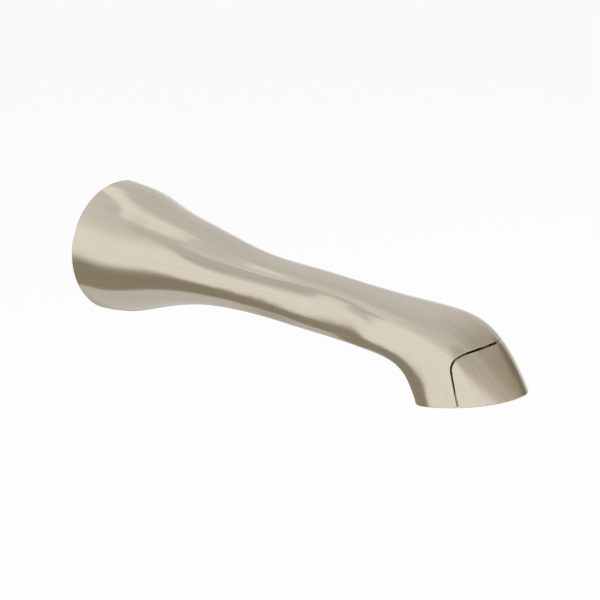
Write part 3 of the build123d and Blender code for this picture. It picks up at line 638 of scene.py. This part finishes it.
def grown_pieces(materials):
    """Return the screws, seals and spring by the node that each stands for."""
    pieces = {}
    cross_screw = screw_tree()
    for node, row in SCREWS.items():
        head, height, shank, length = (size * MM for size in row["sizes"])
        pieces[node] = grow(node + "_finished", cross_screw, row["places"], materials["screw_steel"], {
            "Head Radius": head, "Head Height": height, "Shank Radius": shank, "Length": length,
            "Pitch": PITCH_SHARE * shank, "Thread Depth": THREAD_SHARE * shank, "Recess Width": RECESS_WIDTH,
            "Turn": row["turn"],
        })
    seal_ring = seal_tree()
    for node, row in SEALS.items():
        inner, outer, width = (size * MM for size in row["sizes"])
        pieces[node] = grow(node + "_finished", seal_ring, row["places"], materials["black_rubber"], {
            "Inner Radius": inner, "Outer Radius": outer, "Width": width, "Turn": row["turn"],
        })
    pieces["return_spring"] = grow(
        "return_spring_finished", spring_tree(), [VALVE_BASE + SLIDE_UP * SPRING_LOW], materials["screw_steel"], {
            "Turns": SPRING_TURNS, "Radius": SPRING_RADIUS, "Wire": SPRING_WIRE,
            "Height": SPRING_HIGH - SPRING_LOW, "Turn": -SLIDE_LEAN,
        })
    return pieces


def dress_nodes(materials, form):
    """Replace every CAD node with a smooth piece in its finish."""
    slots = {row["node"]: row["material_slot"] for row in frame["record"]["subparts"]}
    bodies = frame["record"]["behaviour"]["bodies"]
    grown = grown_pieces(materials)
    for body, nodes in bodies.items():
        for node in nodes:
            slot = slots[node]
            piece = grown.get(node)
            if piece is None:
                piece = smooth_copy(node, node + "_finished")
                piece.data.materials.append(materials[slot])
            if slot == "brushed_nickel":
                piece.data.materials.append(materials["raw_casting"])
                skin(piece, form)
            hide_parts(node)
            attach(piece, body)
    spring = grown["return_spring"]
    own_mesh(spring)


def seen_directly(tree):
    """Return 1 for what is looked at straight or through glass, and 0 for reflections and light."""
    path = add(tree, "ShaderNodeLightPath").outputs
    return compute(tree, "MAXIMUM", path["Is Camera Ray"], path["Is Transmission Ray"])


def mix_shaders(tree, factor, first, second):
    """Return a mix of two shaders."""
    made = add(tree, "ShaderNodeMixShader", Fac=factor)
    tree.links.new(first, made.inputs[1])
    tree.links.new(second, made.inputs[2])
    return made.outputs["Shader"]


def make_floor():
    """A plain white floor well below the spout, which still takes its soft shadow."""
    low = cad_low.z - FLOOR_DROP
    half = FLOOR_SIZE / 2
    mesh = bpy.data.meshes.new("floor")
    corners = [(-half, -half, low), (half, -half, low), (half, half, low), (-half, half, low)]
    mesh.from_pydata(corners, [], [(0, 1, 2, 3)])
    material, tree = new_material("white_floor")
    diffuse = add(tree, "ShaderNodeBsdfDiffuse", Color=FLOOR_TONE).outputs["BSDF"]
    glow = add(tree, "ShaderNodeEmission", Color=WHITE, Strength=1.0).outputs["Emission"]
    share = product(tree, seen_directly(tree), FLOOR_GLOW)
    add(tree, "ShaderNodeOutputMaterial", Surface=mix_shaders(tree, share, diffuse, glow))
    mesh.materials.append(material)
    floor = bpy.data.objects.new("floor", mesh)
    bpy.context.scene.collection.objects.link(floor)
    floor.visible_glossy = False


def upright(outline):
    """Return the corners of an upright card from its outline."""
    return [Vector((CARD_X, y, z)) * MM for y, z in outline]


def make_card(name, corners, across, start, end, stops):
    """A glowing card near the spout, for the metal alone to show, with its tones across a direction."""
    mesh = bpy.data.meshes.new(name)
    mesh.from_pydata(corners, [], [tuple(range(len(corners)))])
    card = bpy.data.objects.new(name, mesh)
    bpy.context.scene.collection.objects.link(card)
    material, tree = new_material(name)
    reach = toward(tree, add(tree, "ShaderNodeTexCoord").outputs["Object"], across)
    share = add(tree, "ShaderNodeMapRange", Value=reach, From_Min=start, From_Max=end)
    light = add(tree, "ShaderNodeEmission", Color=ramp(tree, share.outputs["Result"], stops), Strength=1.0)
    add(tree, "ShaderNodeOutputMaterial", Surface=light.outputs["Emission"])
    mesh.materials.append(material)
    card.visible_camera = card.visible_diffuse = card.visible_shadow = card.visible_transmission = False


def fade(tree, value, start, end):
    """Return a smooth step of a value, from 0 at the start to 1 at the end."""
    made = add(
        tree, "ShaderNodeMapRange", {"interpolation_type": "SMOOTHSTEP"}, Value=value,
        From_Min=min(start, end), From_Max=max(start, end),
    ).outputs["Result"]
    return made if start < end else compute(tree, "SUBTRACT", 1.0, made)


def toward(tree, way, aim):
    """Return how nearly a direction points along an aim, 1 at the most."""
    made = add(tree, "ShaderNodeVectorMath", {"operation": "DOT_PRODUCT"})
    tree.links.new(way, made.inputs[0])
    made.inputs[1].default_value = Vector(aim).normalized()
    return made.outputs["Value"]


def blend(tree, factor, first, second):
    """Return a mix of two colours."""
    made = add(tree, "ShaderNodeMix", {"data_type": "RGBA"})
    for socket, value in zip((made.inputs[0], made.inputs[6], made.inputs[7]), (factor, first, second)):
        feed(tree, socket, value)
    return made.outputs[2]


def make_world():
    """A white studio: bright walls, a softer tone overhead and a dark flag on the right for the metal to show."""
    world = bpy.data.worlds.new("studio")
    bpy.context.scene.world = world
    world.use_nodes = True
    tree = world.node_tree
    tree.nodes.clear()
    way = add(tree, "ShaderNodeTexCoord").outputs["Generated"]
    axes = add(tree, "ShaderNodeSeparateXYZ", Vector=way).outputs
    level = add(tree, "ShaderNodeMapRange", Value=axes["Z"], From_Min=-1.0, From_Max=1.0).outputs["Result"]
    left_wall, far_wall, right_wall = (ramp(tree, level, wall) for wall in (LEFT_WALL, FAR_WALL, RIGHT_WALL))
    left_wall = blend(tree, fade(tree, axes["Y"], 0.655, 0.73), left_wall, far_wall)
    walls = blend(tree, fade(tree, axes["X"], -0.05, 0.35), left_wall, right_wall)
    walls = blend(tree, ramp(tree, toward(tree, way, FLAG), FLAG_SHARES), walls, FLAG_TONE)
    front = product(
        tree, fade(tree, axes["Y"], -0.15, -0.45), fade(tree, axes["Z"], 0.12, 0.62),
        fade(tree, axes["X"], 0.45, 0.15), FRONT_SHARE,
    )
    walls = blend(tree, front, walls, FLAG_TONE)
    edge = product(
        tree, fade(tree, axes["X"], 0.78, 0.90), fade(tree, axes["Y"], 0.04, -0.05),
        fade(tree, axes["Z"], 0.58, 0.44), EDGE_SHARE,
    )
    walls = blend(tree, edge, walls, EDGE_TONE)
    slope = compute(tree, "MULTIPLY_ADD", axes["X"], -0.95, axes["Z"])
    below = product(tree, fade(tree, slope, -0.47, -0.53), fade(tree, axes["Z"], -0.24, -0.32))
    below = compute(tree, "MAXIMUM", below, fade(tree, axes["Z"], -0.42, -0.52))
    walls = blend(tree, below, walls, BELOW_TONE)
    corner = product(
        tree, fade(tree, axes["Y"], 0.62, 0.74), fade(tree, axes["Z"], -0.26, -0.34),
        fade(tree, axes["X"], -0.45, -0.25),
    )
    walls = blend(tree, corner, walls, DUSK)
    glossy, plain, white = (
        add(tree, "ShaderNodeBackground", Color=colour, Strength=strength).outputs["Background"]
        for colour, strength in ((walls, 1.0), (WHITE, PLAIN_LEVEL), (WHITE, 1.0))
    )
    shown = mix_shaders(tree, add(tree, "ShaderNodeLightPath").outputs["Is Glossy Ray"], plain, glossy)
    add(tree, "ShaderNodeOutputWorld", Surface=mix_shaders(tree, seen_directly(tree), shown, white))


def make_lamp(name, place, size, power):
    """A soft square lamp that looks at the spout's middle."""
    data = bpy.data.lights.new(name, "AREA")
    data.shape = "SQUARE"
    data.size = size
    data.energy = power
    lamp = bpy.data.objects.new(name, data)
    bpy.context.scene.collection.objects.link(lamp)
    lamp.location = place
    lamp.rotation_euler = (VIEW_TARGET - Vector(place)).to_track_quat("-Z", "Y").to_euler()
    lamp.visible_glossy = False


def make_camera():
    """The photograph's view of the spout."""
    back = Vector((
        math.sin(VIEW_AZIMUTH) * math.cos(VIEW_ELEVATION),
        -math.cos(VIEW_AZIMUTH) * math.cos(VIEW_ELEVATION),
        math.sin(VIEW_ELEVATION),
    ))
    right = Vector((math.cos(VIEW_AZIMUTH), math.sin(VIEW_AZIMUTH), 0.0))
    up = back.cross(right)
    eye = VIEW_TARGET + back * VIEW_DISTANCE
    aim = VIEW_TARGET + right * VIEW_RIGHT - up * VIEW_DOWN
    data = bpy.data.cameras.new("camera")
    data.sensor_width = 36.0
    data.lens = VIEW_LENS
    data.clip_end = 100.0
    camera = bpy.data.objects.new("camera", data)
    bpy.context.scene.collection.objects.link(camera)
    camera.location = eye
    camera.rotation_euler = (aim - eye).to_track_quat("-Z", "Y").to_euler()
    bpy.context.scene.camera = camera


bpy.context.scene.view_settings.view_transform = "Standard"
dress_nodes(make_materials(), SpoutForm())
make_floor()
make_card("shade_card", upright(SHADE_CARD), *SHADE_RUN, SHADE_TONES)
make_card("streak_card", upright(STREAK_CARD), *STREAK_RUN, STREAK_TONES)
make_card("top_card", TOP_CARD, *TOP_RUN, TOP_TONES)
make_world()
for lamp_values in LAMPS:
    make_lamp(*lamp_values)
make_camera()
